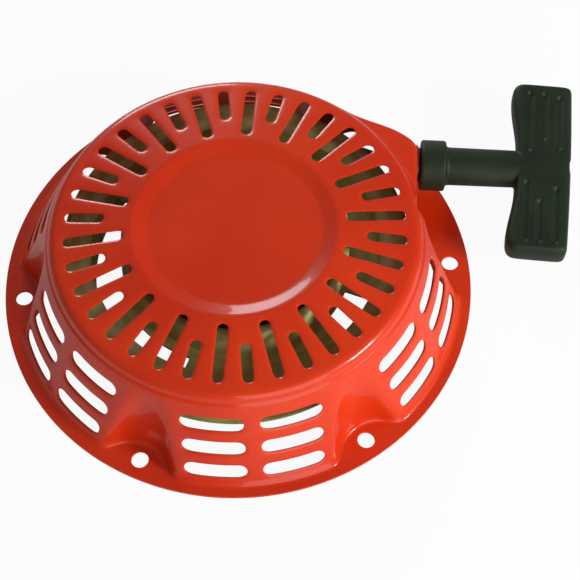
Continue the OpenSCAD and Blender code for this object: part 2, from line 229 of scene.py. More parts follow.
# %% Nylon reel
def reel_nylon():
    nylon = Finish("reel_nylon", ior=1.53)
    across = nylon.add("ShaderNodeVectorMath", {"operation": "MULTIPLY"}, [nylon.place(), (1, 1, 0)])
    from_axis = nylon.add("ShaderNodeVectorMath", {"operation": "LENGTH"}, [across], "Value")
    rings = (from_axis * 900.0 + nylon.noise(30.0) * 5.0).sine() * 0.5 + 0.5
    cloud = nylon.noise(60.0, 4.0)
    mask = nylon.steps(rings * 0.25 + cloud * 0.75, 0.3, 0.75)
    nylon.set(base_color=nylon.mix(mask, tone(0.42, 0.38, 0.10), tone(0.58, 0.56, 0.24)))
    nylon.set(roughness=0.36 + cloud * 0.16)
    nylon.bump(rings * 0.3 + nylon.noise(1500.0), 0.1, 0.0002)
    return nylon.material


nylon_finish = reel_nylon()
print(nylon_finish.name)

# %% [markdown]
# The metals differ in how they were made. Zinc plate is pale with a fine speckle, spring steel is
# dark, blued and streaked along its height, and the sintered ratchets have an open grain.

# %% Metals
def metal(name, dark, light, roughness, grain, streak=(1, 1, 1), bump=0.12):
    steel = Finish(name, metallic=1.0)
    stretched = steel.add("ShaderNodeVectorMath", {"operation": "MULTIPLY"}, [steel.place(), streak])
    speckle = steel.noise(grain, 4.0, stretched)
    cloud = steel.noise(45.0, 3.0)
    mask = steel.steps(speckle * 0.6 + cloud * 0.4, 0.32, 0.68)
    steel.set(base_color=steel.mix(mask, dark, light))
    steel.set(roughness=roughness - 0.07 + speckle * 0.16)
    steel.bump(speckle, bump, 0.0002)
    return steel.material


zinc_finish = metal("plated_steel", tone(0.46, 0.47, 0.47), tone(0.64, 0.64, 0.62), 0.32, 1600.0)
spring_finish = metal(
    "spring_steel", tone(0.09, 0.095, 0.11), tone(0.2, 0.21, 0.23), 0.34, 500.0, (1, 1, 0.05))
ratchet_finish = metal(
    "ratchet_steel", tone(0.25, 0.24, 0.22), tone(0.42, 0.41, 0.38), 0.46, 2600.0, bump=0.3)
print(zinc_finish.name, spring_finish.name, ratchet_finish.name)

# %% Small plastics
def dark_plastic(name, base, roughness):
    plastic = Finish(name, ior=1.5)
    grain = plastic.noise(1800.0, 3.0)
    lighter = tone(*[1.5 * part for part in base[:3]])
    plastic.set(base_color=plastic.mix(plastic.steps(plastic.noise(70.0), 0.3, 0.7), base, lighter))
    plastic.set(roughness=roughness + grain * 0.14)
    plastic.bump(grain, 0.15, 0.0002)
    return plastic.material


eyelet_finish = dark_plastic("eyelet_black", tone(0.018, 0.018, 0.018), 0.2)
guide_finish = dark_plastic("guide_plastic", tone(0.03, 0.03, 0.032), 0.42)
print(eyelet_finish.name, guide_finish.name)

# %% [markdown]
# The cord is braided nylon. Its strands cross in two spirals, so the pattern has to follow the
# cord: each cord carries a UV map whose U runs along it and whose V runs round it, and two sine
# waves of U and V that cross give the diamonds of the braid. The grooves between the diamonds are
# painted darker: that is painted shade, while the same waves also raise the strands in the bump.

# %% Braided cord
strands = 8
braid_pitch = 16.0


def braided_cord():
    cord = Finish("cord", ior=1.5)
    uv = cord.add("ShaderNodeUVMap", {"uv_map": "along_round"})
    along = cord.add("ShaderNodeSeparateXYZ", {}, [uv], "X")
    around = cord.add("ShaderNodeSeparateXYZ", {}, [uv], "Y")
    turn = 2 * math.pi
    right = (along * (turn * strands / 2) + around * (turn * strands / 2)).sine()
    left = (along * (turn * strands / 2) - around * (turn * strands / 2)).sine()
    braid = right * left * 0.5 + 0.5
    fuzz = cord.noise(3000.0, 3.0)
    # The mask darkens the colour where the braid wave is low, in the grooves between strands: painted shade.
    # The fine fuzz in it is the cord's own random tone.
    mask = cord.steps(braid * 0.75 + fuzz * 0.25, 0.15, 0.6)
    cord.set(base_color=cord.mix(mask, tone(0.36, 0.34, 0.28), tone(0.68, 0.66, 0.58)))
    cord.set(roughness=0.7 + fuzz * 0.2)
    cord.bump(braid + fuzz * 0.4, 0.35, 0.0003)
    return cord.material


cord_finish = braided_cord()
print(cord_finish.name)

# %% [markdown]
# ## Making pieces
# A piece is drawn as a bmesh in millimetres. Its modifiers are settled into the mesh at once, so
# that its sharp edges can be marked on the final faces, and it is then fixed to a body.

# %% Make and fit
def to_object(name, bm):
    """Turns a bmesh drawn in millimetres into an object in metres."""
    bmesh.ops.scale(bm, vec=(MM, MM, MM), verts=bm.verts)
    mesh = bpy.data.meshes.new(name)
    bm.to_mesh(mesh)
    bm.free()
    thing = bpy.data.objects.new(name, mesh)
    bpy.context.scene.collection.objects.link(thing)
    return thing


def make(name, bm, finish, modifiers=(), sharp=38.0):
    """Makes a piece from a bmesh drawn in millimetres, with its modifiers settled."""
    thing = to_object(name, bm)
    for kind, settings in modifiers:
        modifier = thing.modifiers.new(kind, kind)
        for key, value in settings.items():
            setattr(modifier, key, value)
    settled = thing.evaluated_get(bpy.context.evaluated_depsgraph_get())
    thing.data = bpy.data.meshes.new_from_object(settled)
    thing.modifiers.clear()
    thing.data.name = name
    thing.data.shade_smooth()
    thing.data.set_sharp_from_angle(angle=math.radians(sharp))
    thing.data.materials.clear()
    thing.data.materials.append(finish)
    print(f"{name}: {len(thing.data.polygons)} faces")
    return thing


def fit(thing, body, slot, *nodes):
    """Fixes a piece to its body, and has it stand for CAD nodes."""
    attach(thing, body)
    if nodes:
        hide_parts(*nodes)


# %% Growing a rim
def grow(bm, rim, places):
    """Extrudes a closed rim of vertices once, and moves the new ring to the places given."""
    edges = [bm.edges.get(pair) for pair in zip(rim, rim[1:] + rim[:1])]
    made = bmesh.ops.extrude_edge_only(bm, edges=edges)["geom"]
    twins = {tuple(part.co): part for part in made if isinstance(part, bmesh.types.BMVert)}
    ring = [twins[tuple(vert.co)] for vert in rim]
    for vert, place in zip(ring, places):
        vert.co = place
    return ring


def close(bm, rim):
    """Fills a rim with one face."""
    edges = [bm.edges.get(pair) for pair in zip(rim, rim[1:] + rim[:1])]
    bmesh.ops.contextual_create(bm, geom=edges)


print("helpers ready")

# %% [markdown]
# ## The pressed cover
# The cover is one sheet of steel, pressed: every fold is soft, and the slots are punched with a
# small curled lip. Booleans on a plain dome would leave hard edges and no lips. Instead a flat
# grid is rolled into a ring of 216 columns and pressed into shape, as the real sheet is. Blocks of
# its cells are left out for the slots and holes, and each gap's rim is grown into a round lip.
# Subdivision then softens every fold, and Solidify gives the sheet its thickness.

# %% Sizes of the cover
sheet = 1.4
lean = math.tan(math.radians(24.7))
foot_r = flange_r - 5.4
shoulder_z = case_h - 8.8
shoulder_round = 5.0
ring_r = 50.6
disc_r = 42.0
disc_z = case_h - 2.5
dome_fall = 3.8
hole_angle = 8.5
hole_ring_r = flange_r - 9.5
hole_r = 4.3
pocket_r = 20.4
pocket_out = foot_r - 12.6 + pocket_r
pocket_lean = 0.16
boss_z = case_h - 11


def wall_r(z):
    return foot_r - lean * z


shoulder_r = wall_r(shoulder_z) - 0.9
print(f"shoulder radius {shoulder_r:.2f} at height {shoulder_z:.1f}")


# %% Soft joins
def ease(t):
    """0 to 1 with a soft start and end."""
    t = min(max(t, 0.0), 1.0)
    return t * t * (3 - 2 * t)


def lerp(a, b, t):
    return a + (b - a) * t


def soft_min(a, b, k):
    """The smaller of two lengths, with a fillet about k wide where they cross."""
    near = max(k - abs(a - b), 0) / k
    return min(a, b) - near * near * k / 4


def soft_max(a, b, k):
    return -soft_min(-a, -b, k)


# %% Shape of the wall
def pocket(az, z):
    """Radius of the nearest bolt pocket's wall in a direction, or a big one beside it."""
    away = math.radians((az - hole_angle + 30) % 60 - 30)
    centre = pocket_out - pocket_lean * z
    side = centre * math.sin(away)
    if abs(side) >= pocket_r:
        return 2 * flange_r
    return centre * math.cos(away) - math.sqrt(pocket_r ** 2 - side ** 2)


def boss(az, z):
    """Radius of the outlet boss: two leaning walls, and the edge of the flange."""
    def leaning(angle, out):
        return (out + lean * (boss_z - z)) / math.cos(math.radians(az - angle))
    wall_at_top = wall_r(boss_z)
    walls = soft_min(leaning(35, wall_at_top + 13.2), leaning(70, wall_at_top - 2.5), 8)
    return soft_min(walls, flange_r - 4, 4)


def skin(az, z, plain):
    """Radius of the pressed wall in a direction at a height, from that of the plain round wall."""
    az = (az + 180) % 360 - 180
    r = plain
    r += (soft_min(plain, pocket(az, z), 2.2) - plain) * ease((45 - z) / 3.5)
    if 12 < az < 66 and z <= boss_z:
        r += (soft_max(r, boss(az, z), 3) - r) * ease((az - 13) / 4) * ease((65 - az) / 5)
    if 8 < az < 66:
        r += (soft_min(r, face_x / math.cos(math.radians(az)), 3) - r) * ease((az - 9) / 4.5)
    return r


print(f"wall at a pocket {skin(68.5, 2, wall_r(2)):.1f}, between pockets {skin(98.5, 2, wall_r(2)):.1f}")

# %% Columns and rows of the grid
columns = 216
seam = 33.5
column_step = 360 / columns
slot_columns = 6
group_half = 38.0
side_top = 41.5
boss_rows = {43.9: (1.3, boss_z), 43.0: (0.2, 43.2)}
foot_rows = {0.35: 0.9, 1.1: 0.15}
dome_rows = [disc_r, disc_r + 0.8, 46.0, ring_r - 1.0, ring_r]
dome_rows += [ring_r + 1.2 + 4.25 * k for k in range(9)]
wall_rows = [45.6, 44.6, *boss_rows]
wall_rows += [side_top - 3.25 * k for k in range(9)]
wall_rows += [15.5 - 2.975 * k for k in range(1, 5)]
rows = [("dome", r) for r in dome_rows]
rows += [("shoulder", 84 - 16.8 * k) for k in range(6)]
rows += [("wall", z) for z in wall_rows]
rows += [("foot", out) for out in foot_rows]
rows += [("flange", f) for f in (0, 0.2, 0.4, 0.6, 0.78, 0.93, 1.0)]
slot_row = 5
side_row = rows.index(("wall", side_top))
flange_row = rows.index(("flange", 0))


def drawn_in(z):
    """How far the columns are drawn in at the pockets at a height, from 0 to 1."""
    return ease((52 - z) / 10.5)


def azimuth(column, pull, r):
    """Direction of a column. Down the wall the columns are drawn in at the pockets, as pull goes to 1."""
    off = (column - 21 + 18) % 36 - 18
    pocket_edge = 30 - math.degrees(group_half / r)
    inside = min(abs(off), slot_columns) / slot_columns
    outside = max(abs(off) - slot_columns, 0) / 12
    drawn = math.copysign(pocket_edge * inside + (30 - pocket_edge) * outside, off)
    return seam + (column - off) * column_step + lerp(off * column_step, drawn, pull)


def polar(az, r, z):
    return Vector((r * math.cos(math.radians(az)), r * math.sin(math.radians(az)), z))


def dome_z(r):
    """Height of the dome: the centre disc, the step up to the ring, and the fall to the shoulder."""
    rise = ease((r - disc_r) / (ring_r - disc_r)) * (case_h - disc_z)
    fall = max(r - ring_r, 0) * dome_fall / (shoulder_r - shoulder_round - ring_r)
    return disc_z + rise - fall


# %% Press one point
def pressed(column, row):
    """Where the press puts a point of the grid."""
    zone, value = rows[row]
    if zone == "dome":
        return polar(azimuth(column, 0, value), value, dome_z(value))
    if zone == "shoulder":
        turn = math.radians(value)
        z = shoulder_z + shoulder_round * math.sin(turn)
        plain = shoulder_r - shoulder_round + shoulder_round * math.cos(turn)
        az = azimuth(column, drawn_in(z), plain)
        return polar(az, skin(az, z, plain), z)
    if zone == "wall":
        az = azimuth(column, drawn_in(value), wall_r(value))
        on_boss = ease((az % 360 - 17) / 3) * ease((57 - az % 360) / 4)
        if value > 44:
            z = lerp(value, boss_z + 0.1, on_boss * (value < 45))
            return polar(az, skin(az, value, wall_r(value)), z)
        tucked, boss_row_z = boss_rows.get(value, (0, value))
        z = lerp(value, boss_row_z, on_boss)
        return polar(az, skin(az, value, wall_r(value)) - tucked * on_boss, z)
    az = azimuth(column, 1, foot_r)
    foot = skin(az, sheet, wall_r(sheet))
    if zone == "foot":
        return polar(az, foot + value, sheet + foot_rows[value])
    return polar(az, lerp(foot + 1.9, flange_r, value), sheet)


print(f"{columns} columns, {len(rows)} rows")

# %% Roll the grid and press it
cover = bmesh.new()
bmesh.ops.create_grid(cover, x_segments=columns, y_segments=len(rows) - 1, size=0.5)
at = {}
for vert in cover.verts:
    at[round((vert.co.x + 0.5) * columns), round((vert.co.y + 0.5) * (len(rows) - 1))] = vert
bmesh.ops.weld_verts(cover, targetmap={at[columns, row]: at[0, row] for row in range(len(rows))})
for column in range(columns):
    for row in range(len(rows)):
        at[column, row].co = pressed(column, row)
print(f"{len(cover.verts)} points pressed")


# %% Outlines of slots and holes
def round_slot(p, q, length, width):
    """A slot with round ends, with p steps along it and q across, from its first corner."""
    half = (length - width) / 2
    rad = width / 2
    side = [(-half + 2 * half * k / (p - 2), -rad) for k in range(p - 1)]
    turns = [math.pi * (k / (q + 2) - 0.5) for k in range(1, q + 2)]
    ring = side + [(half + rad * math.cos(t), rad * math.sin(t)) for t in turns]
    ring += [(-x, -y) for x, y in ring]
    return [ring[-1]] + ring[:-1]


def round_hole(p, q, r):
    """A circle with p steps on two sides and q on the other two, from its first corner."""
    turns = [-135 + 90 * k / p for k in range(p)] + [-45 + 90 * k / q for k in range(q)]
    turns += [turn + 180 for turn in turns]
    return [(r * math.cos(math.radians(t)), r * math.sin(math.radians(t))) for t in turns]


def on_dome(az, out, side, sunk):
    """A point of the dome at a distance out and to the side of a direction."""
    flat = polar(az, out, 0) + polar(az + 90, side, 0)
    return Vector((flat.x, flat.y, dome_z(flat.length) - sunk))


def on_wall(az, z, along, up, sunk):
    """A point of the wall beside and above another, sunk below its skin."""
    slope = math.atan(lean)
    height = z + up * math.cos(slope)
    turned = az + math.degrees(math.atan(along / wall_r(z)))
    r = skin(turned, height, wall_r(height)) - sunk * math.cos(slope)
    return polar(turned, r, height - sunk * math.sin(slope))


# %% Punch a gap
def punch(corners, outline, lips):
    """Leaves out the cells between four corners, then grows the rim into lips.
    outline(grow) gives the flat outline, and each lip is (grow, place of a flat point)."""
    rim = []
    for (c, r), (c2, r2) in zip(corners, corners[1:] + corners[:1]):
        count = abs(c2 - c) + abs(r2 - r)
        path = [(c + (c2 - c) * k // count, r + (r2 - r) * k // count) for k in range(count)]
        rim += [at[column % columns, row] for column, row in path]
    column_range = range(min(c for c, r in corners) + 1, max(c for c, r in corners))
    row_range = range(min(r for c, r in corners) + 1, max(r for c, r in corners))
    inner = [at[c % columns, r] for c in column_range for r in row_range]
    bmesh.ops.delete(cover, geom=inner, context="VERTS")
    for wider, place in lips:
        rim = grow(cover, rim, [place(x, y) for x, y in outline(wider)])


def upright(c0, c1, r0, r1):
    """Corners of a gap whose length runs along a column."""
    return [(c0, r0), (c0, r1), (c1, r1), (c1, r0)]


def level(c0, c1, r0, r1):
    """Corners of a gap whose length runs along a row."""
    return [(c0, r1), (c1, r1), (c1, r0), (c0, r0)]


# %% Slots of the dome
slot_w = 5.3
slot_end = shoulder_r - shoulder_round - 2.9
slot_start = ring_r + 3.4
short_by = 10
last_row = slot_row + 8
lip = 0.9
curl = 0.5
for k in range(36):
    first = slot_columns * k
    az = seam + (first + slot_columns / 2) * column_step
    short = k % 2 == 0
    start = slot_start + short_by * short
    middle = (start + slot_end) / 2
    row = slot_row + 2 * short
    punch(
        upright(first, first + slot_columns, row, last_row),
        lambda wider: round_slot(
            last_row - row, slot_columns, slot_end - start + 2 * wider, slot_w + 2 * wider),
        [(lip, lambda x, y: on_dome(az, middle + x, y, 0)),
         (0, lambda x, y: on_dome(az, middle + x, y, curl))],
    )
print("36 slots in the dome, faces now", len(cover.faces))

# %% Slots of the wall
side_slot = (31.0, 7.8)
side_bridge = 7.0
side_drop = 11.2
side_pitch = 13
for group in range(5):
    middle_column = 39 + 36 * group
    for level_index in range(3):
        z = shoulder_z - side_drop - side_pitch * level_index
        row = side_row + 4 * level_index
        for side in (-1, 1):
            turn = math.degrees(side * (side_slot[0] + side_bridge) / 2 / wall_r(z))
            az = seam + middle_column * column_step + turn
            first = middle_column - 12 * (side < 0)
            punch(
                level(first, first + 12, row, row + 4),
                lambda wider: round_slot(12, 4, side_slot[0] + 2 * wider, side_slot[1] + 2 * wider),
                [(lip, lambda x, y: on_wall(az, z, x, y, 0)),
                 (0, lambda x, y: on_wall(az, z, x, y, curl))],
            )
print("30 slots in the wall, faces now", len(cover.faces))

# %% Mounting holes and the cord's outlet
for k in range(6):
    middle_column = 21 + 36 * k
    az = seam + middle_column * column_step
    spot = lambda x, y: polar(az, hole_ring_r + x, sheet) + polar(az + 90, y, 0)
    punch(
        upright(middle_column - 3, middle_column + 3, flange_row, flange_row + 4),
        lambda wider: round_hole(4, 6, hole_r + wider),
        [(0.5, spot), (0, spot)],
    )
outlet_row = side_row + 1
outlet_r = 7.6
spot = lambda x, y: Vector((face_x, outlet_y + x, outlet_z + y))
punch(
    level(-3, 3, outlet_row, outlet_row + 7),
    lambda wider: round_hole(6, 7, outlet_r + wider),
    [(1.0, spot), (0, spot)],
)
print("6 holes and the outlet, faces now", len(cover.faces))

# %% Centre disc, and the sheet's thickness
disc_rim = [at[column, 0] for column in range(columns)]
for r in (disc_r - 1.2, 30, 12):
    disc_rim = grow(cover, disc_rim, [polar(azimuth(c, 0, r), r, disc_z) for c in range(columns)])
close(cover, disc_rim)
bmesh.ops.recalc_face_normals(cover, faces=cover.faces)
disc_face = max(cover.faces, key=lambda face: len(face.verts))
if disc_face.normal.z < 0:
    bmesh.ops.reverse_faces(cover, faces=cover.faces)
softened_sheet = [
    ("SUBSURF", {"levels": 1, "render_levels": 1}),
    ("SOLIDIFY", {"thickness": sheet * MM, "offset": -1.0}),
]
cover_shell = make("cover_shell", cover, enamel_finish, softened_sheet)
fit(cover_shell, "case", "red_enamel", "case")

# %% [markdown]
# ## Neck and eyelet
# The cord leaves through a short neck drawn out of the boss, lined with a black eyelet that
# spares the cord. Both are turned shapes, so an outline is spun about the line of the pull.

# %% Spin an outline
def spun(outline, steps=72):
    """Revolves a closed outline of (radius, height) points about Z."""
    bm = bmesh.new()
    verts = [bm.verts.new((r, 0, z)) for r, z in outline]
    edges = [bm.edges.new(pair) for pair in zip(verts, verts[1:] + verts[:1])]
    bmesh.ops.spin(bm, geom=verts + edges, axis=(0, 0, 1), cent=(0, 0, 0), angle=2 * math.pi,
                   steps=steps, use_merge=True)
    bmesh.ops.remove_doubles(bm, verts=bm.verts, dist=0.0005)
    bmesh.ops.recalc_face_normals(bm, faces=bm.faces)
    return bm


def along_pull(bm, x):
    """Lays a shape drawn about Z along the cord's line, its foot at x."""
    quarter = Matrix.Rotation(math.radians(90), 3, "Y")
    bmesh.ops.rotate(bm, cent=(0, 0, 0), matrix=quarter, verts=bm.verts)
    bmesh.ops.translate(bm, vec=(x, outlet_y, outlet_z), verts=bm.verts)
    return bm


def arc(r, z, radius, start, end, steps=5):
    """Points of a round edge about (r, z)."""
    turns = [math.radians(lerp(start, end, k / steps)) for k in range(steps + 1)]
    return [(r + radius * math.cos(t), z + radius * math.sin(t)) for t in turns]


neck_r = 10.0
bore_in_neck = 7.55
neck_outline = [(bore_in_neck, -1.2), (neck_r + 0.5, -1.2), (neck_r + 0.5, 0.05)]
neck_outline += arc(neck_r + 0.5, 0.5, 0.5, -90, -180, 3)
neck_outline += arc(neck_r - 0.35, neck_l - 0.35, 0.35, 0, 90, 3)
neck_outline += [(bore_in_neck, neck_l)]
neck = make("cord_neck", along_pull(spun(neck_outline), face_x), enamel_finish)
fit(neck, "case", "red_enamel")

# %% Eyelet
eyelet_bore = 3.2
eyelet_out = 9.0
eyelet_body = bore_in_neck - 0.05
eyelet_low = corner_low("rope_guide").x
eyelet_length = corner_high("rope_guide").x - eyelet_low
flange_at = eyelet_length - eyelet_flange_t
eyelet_outline = arc(eyelet_bore + 1.4, 1.4, 1.4, 180, 270)
eyelet_outline += [(eyelet_body, 0), (eyelet_body, flange_at), (eyelet_out, flange_at)]
eyelet_outline += arc(eyelet_out - 0.5, eyelet_length - 0.5, 0.5, 0, 90, 4)
eyelet_outline += arc(eyelet_bore + 1.4, eyelet_length - 1.4, 1.4, 90, 180)
eyelet = make("cord_eyelet", along_pull(spun(eyelet_outline), eyelet_low), eyelet_finish)
fit(eyelet, "case", "eyelet_black", "rope_guide")

# %% [markdown]
# ## Reel
# The reel is turned in outline: a drum for the spring, a web, and a groove for the cord. Its web
# has three curved windows. The outline is spun in steps of three degrees, the web's faces in each
# window's sector are removed above and below, and the two rims are bridged into the window's
# walls. A Bevel modifier then rounds every edge as a mould does.

# %% Turned body of the reel
reel_r = corner_high("reel").x
drum_top = corner_high("reel").z
reel_low = corner_low("reel").z
wall_t = 2.5
groove_r = reel_r - 12
groove_in = groove_r - wall_t
drum_r = groove_in - 15.5
drum_in = drum_r - 4
reel_top = 36.5
web_z = 24.0
floor_top = 30.0
floor_low = 27.0
window_in = drum_r + 1.5
window_out = groove_in - 0.5
window_step = window_in + 3.5
drum_low = 20
bearing_r = 8.05
hub_r = 13.0
hub_low = 20.5
web_top = web_z + wall_t
reel_outline = [
    (bearing_r, hub_low), (hub_r, hub_low), (hub_r, floor_low), (drum_in, floor_low),
    (drum_in, drum_low), (drum_r, drum_low), (drum_r, web_z),
    (window_in, web_z), (window_step, web_z), (window_out, web_z), (groove_in, web_z),
    (groove_in, reel_low), (reel_r, reel_low),
    (reel_r, reel_low + wall_t), (groove_r, reel_low + wall_t),
    (groove_r, reel_top - wall_t), (reel_r, reel_top - wall_t), (reel_r, reel_top), (groove_in, reel_top),
    (groove_in, web_top), (window_out, web_top), (window_step, web_top), (window_in, web_top),
    (drum_r, web_top), (drum_r, drum_top), (drum_in, drum_top), (drum_in, floor_top), (bearing_r, floor_top),
]
reel_steps = 120
reel = spun(reel_outline, reel_steps)
print("reel turned:", len(reel.faces), "faces")

# %% Windows of the web
windows = [(153.5, 210.5, window_in), (225.5, 253.5, window_step), (324.5, 343.5, window_in)]
half_degree = Matrix.Rotation(math.radians(0.5), 3, "Z")
bmesh.ops.rotate(reel, cent=(0, 0, 0), matrix=half_degree, verts=reel.verts)


def in_window(face, start, end, inner):
    centre = face.calc_center_median()
    az = math.degrees(math.atan2(centre.y, centre.x)) % 360
    flat = abs(face.normal.z) > 0.9 and abs(centre.z - web_z - wall_t / 2) < wall_t
    return flat and inner < centre.xy.length < window_out and start < az < end


for window in windows:
    gone = [face for face in reel.faces if in_window(face, *window)]
    bmesh.ops.delete(reel, geom=gone, context="FACES")
    rims = [edge for edge in reel.edges if edge.is_boundary]
    bmesh.ops.bridge_loops(reel, edges=rims)
print("windows cut, faces now", len(reel.faces))

# %% Pivot pins, and the finished reel
pivot_r = 21.0
pin_r = 3
pin_l = 9
pin_z = 24.7
for side in (-1, 1):
    bmesh.ops.create_cone(reel, cap_ends=True, segments=32, radius1=pin_r, radius2=pin_r, depth=pin_l,
                          matrix=Matrix.Translation((side * pivot_r, 0, pin_z)))
bmesh.ops.recalc_face_normals(reel, faces=reel.faces)
edge_round = {"width": 0.4 * MM, "segments": 2, "limit_method": "ANGLE", "angle_limit": math.radians(40)}
cord_reel = make("cord_reel", reel, nylon_finish, [("BEVEL", edge_round)])
fit(cord_reel, "reel", "reel_nylon", "reel")

# %% [markdown]
# ## Cords
# One real cord winds on the reel, leads out over the last turn to the eyelet, and runs on into
# the grip. It is modelled in three lengths: the wound turns are fixed to the reel, the run to the
# eyelet is fixed to the case, and the stretch that is drawn out is fixed to no body. Each is a ring
# grown along its route, with the strands of the braid raised in the mesh.

# %% Grow a cord along a route
cord_r = 2.25
cord_sides = 16
braid_rise = 0.13


def cord_along(route):
    """A closed cord along a list of points, with its braid raised and a UV map in braid pitches."""
    bm = bmesh.new()
    uv = bm.loops.layers.uv.new("along_round")
    reach = {}
    travelled = 0.0
    rim = bmesh.ops.create_circle(bm, segments=cord_sides, radius=1)["verts"]
    for k, point in enumerate(route):
        ahead = (route[min(k + 1, len(route) - 1)] - route[max(k - 1, 0)]).normalized()
        side = ahead.cross(Vector((0, 0, 1))).normalized()
        over = side.cross(ahead)
        travelled += (point - route[max(k - 1, 0)]).length
        places = []
        for j in range(cord_sides):
            turn = 2 * math.pi * j / cord_sides
            phase = 2 * math.pi * strands / 2 * travelled / braid_pitch
            twist = turn * strands / 4
            raised = braid_rise * abs(math.sin(phase + twist) * math.sin(phase - twist))
            outward = side * math.cos(turn) + over * math.sin(turn)
            places.append(point + outward * (cord_r - braid_rise + raised))
        if k == 0:
            for vert, place in zip(rim, places):
                vert.co = place
            close(bm, rim)
        else:
            rim = grow(bm, rim, places)
        for j, vert in enumerate(rim):
            reach[vert] = (travelled / braid_pitch, j / cord_sides)
    close(bm, rim)
    bmesh.ops.recalc_face_normals(bm, faces=bm.faces)
    for face in bm.faces:
        wraps = max(reach[v][1] for v in face.verts) > 0.9 and len(face.verts) == 4
        for loop in face.loops:
            u, v = reach[loop.vert]
            loop[uv].uv = (u, v + 1 if wraps and v == 0 else v)
    return bm


print("cord radius", cord_r)

# %% Wound turns
wound_r = groove_r + cord_r
coil_low = reel_low + wall_t + 0.2 + cord_r
turn_pitch = 2 * cord_r + 0.3
turns = 3
rise_sweep = 30.0
anchor = 45.0


def wound_point(swept):
    """A point of the wound cord: level for most of a turn, then up to the next one."""
    turn = int(swept // 360)
    step = ease((swept - 360 * turn) / rise_sweep) if turn else 0
    z = coil_low + turn_pitch * (max(turn - 1, 0) + step)
    return polar(anchor + swept, wound_r + 0.02, z)


coil_steps = 880
wound_sweep = 360 * turns - 6
wound = [wound_point(wound_sweep * k / coil_steps) for k in range(coil_steps + 1)]
wound_cord = make("wound_cord", cord_along(wound), cord_finish)
fit(wound_cord, "reel", "cord", "rope_coil")

# %% Last turn and the run to the eyelet
still_r = wound_r + 0.6
still_z = coil_low + turns * turn_pitch
bend = Vector((corner_low("rope_guide").x + 1, outlet_y, outlet_z))
leave = math.degrees(math.atan2(bend.y, bend.x)) + math.degrees(math.acos(still_r / bend.xy.length))
wrap_sweep = 290
wrap_steps = 320
run_steps = 24
wrap = [polar(leave + wrap_sweep * (1 - k / wrap_steps), still_r, still_z) for k in range(wrap_steps + 1)]
way = bend - wrap[-1]
stations = []
for k in range(1, run_steps + 1):
    t = k / run_steps
    stations.append(wrap[-1] + Vector((way.x * t, way.y * t, way.z * ease((t - 0.2) / 0.8))))
run_cord = make("run_cord", cord_along(wrap + stations + [bend + Vector((1, 0, 0))]), cord_finish)
fit(run_cord, "case", "cord", "rope_run")

# %% Stretch that is drawn out
pull_low = corner_low("rope_pull").x
pull_high = corner_high("rope_pull").x
pull_steps = 90
print("stretch from", round(pull_low, 2), "run ends", round(bend.x + 1, 2))
pull_places = [lerp(pull_low, pull_high, k / pull_steps) for k in range(pull_steps + 1)]
pulled = [Vector((x, outlet_y, outlet_z)) for x in pull_places]
pull_cord = make("pull_cord", cord_along(pulled), cord_finish)
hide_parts("rope_pull")
grip_x = corner_low("grip").x
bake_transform(pull_cord)

# %% [markdown]
# ## Knots
# The cord ends in a knot at the reel and another in the grip. A knot is a ball of two crossed
# turns; a trefoil swept by the cord would pass through itself, so a small sphere is given the
# furrows of crossed strands instead.

# %% Two knots
def knot(name, node, body, radius):
    low = corner_low(node)
    high = corner_high(node)
    bm = bmesh.new()
    uv = bm.loops.layers.uv.new("along_round")
    bmesh.ops.create_uvsphere(bm, u_segments=48, v_segments=32, radius=1)
    for vert in bm.verts:
        x, y, z = vert.co
        furrow = abs(math.sin(3 * (x + 0.6 * y)) * math.sin(3 * (z - 0.5 * y)))
        vert.co *= radius * (0.9 + 0.1 * furrow)
    for face in bm.faces:
        for loop in face.loops:
            loop[uv].uv = (loop.vert.co.x / braid_pitch, loop.vert.co.z / radius)
    centre = (low + high) / 2
    if node == "reel_knot":
        centre = polar(anchor, groove_in - radius - 0.2, coil_low)
    bmesh.ops.translate(bm, vec=centre, verts=bm.verts)
    ball = make(name, bm, cord_finish)
    fit(ball, body, "cord", node)


knot("inner_knot", "reel_knot", "reel", 4.2)
knot("outer_knot", "grip_knot", "grip", 4.4)

# %% [markdown]
# ## Grip
# The grip is one moulding: a collar and a round stem that runs into a flat T bar, waisted where
# the fingers go, with three shallow finger grooves in each half. Joining boxes and cylinders
# would leave creases at every join. Here the bar is grown ring by ring along its length, the stem
# is spun, the two are joined and bored, and a voxel remesh with smoothing melts them together.
# The grooves are pressed in last, so that the remesh can't wash them out. The bar hangs slightly
# turned about the cord, so it is drawn square and laid over before it is joined to the stem.

# %% Sizes of the grip
bar_high = corner_high("grip")
bar_low = corner_low("grip")
half_bar = (bar_high.y - bar_low.y) / 2
bar_t = 15.0
stem_l = 47.0
bar_x = grip_x + stem_l - 1.3
bar_end = bar_high.x - 1.6
inner_round = 6.5
outer_round = 4.0
end_round = 3.0
waist = 3.4
bar_roll = 5.0
bar_skew = -2.7


def bar_inner(y):
    """Inner edge of the bar: drawn in at the waist, rounded at the ends."""
    away = abs(y) - (half_bar - inner_round)
    corner = inner_round - math.sqrt(max(inner_round ** 2 - max(away, 0) ** 2, 0.0))
    return bar_x + waist * (1 - ease((abs(y) - 12) / 29)) + corner


def bar_outer(y):
    """Outer edge of the bar: nearly straight, a little full in the middle."""
    away = abs(y) - (half_bar - outer_round)
    corner = outer_round - math.sqrt(max(outer_round ** 2 - max(away, 0) ** 2, 0.0))
    return bar_end - 0.8 * (y / half_bar) ** 2 - corner


print(f"bar {2 * half_bar:.0f} long, from x {bar_x:.1f} to {bar_end:.1f}")


# %% Grow the bar
section_points = 48


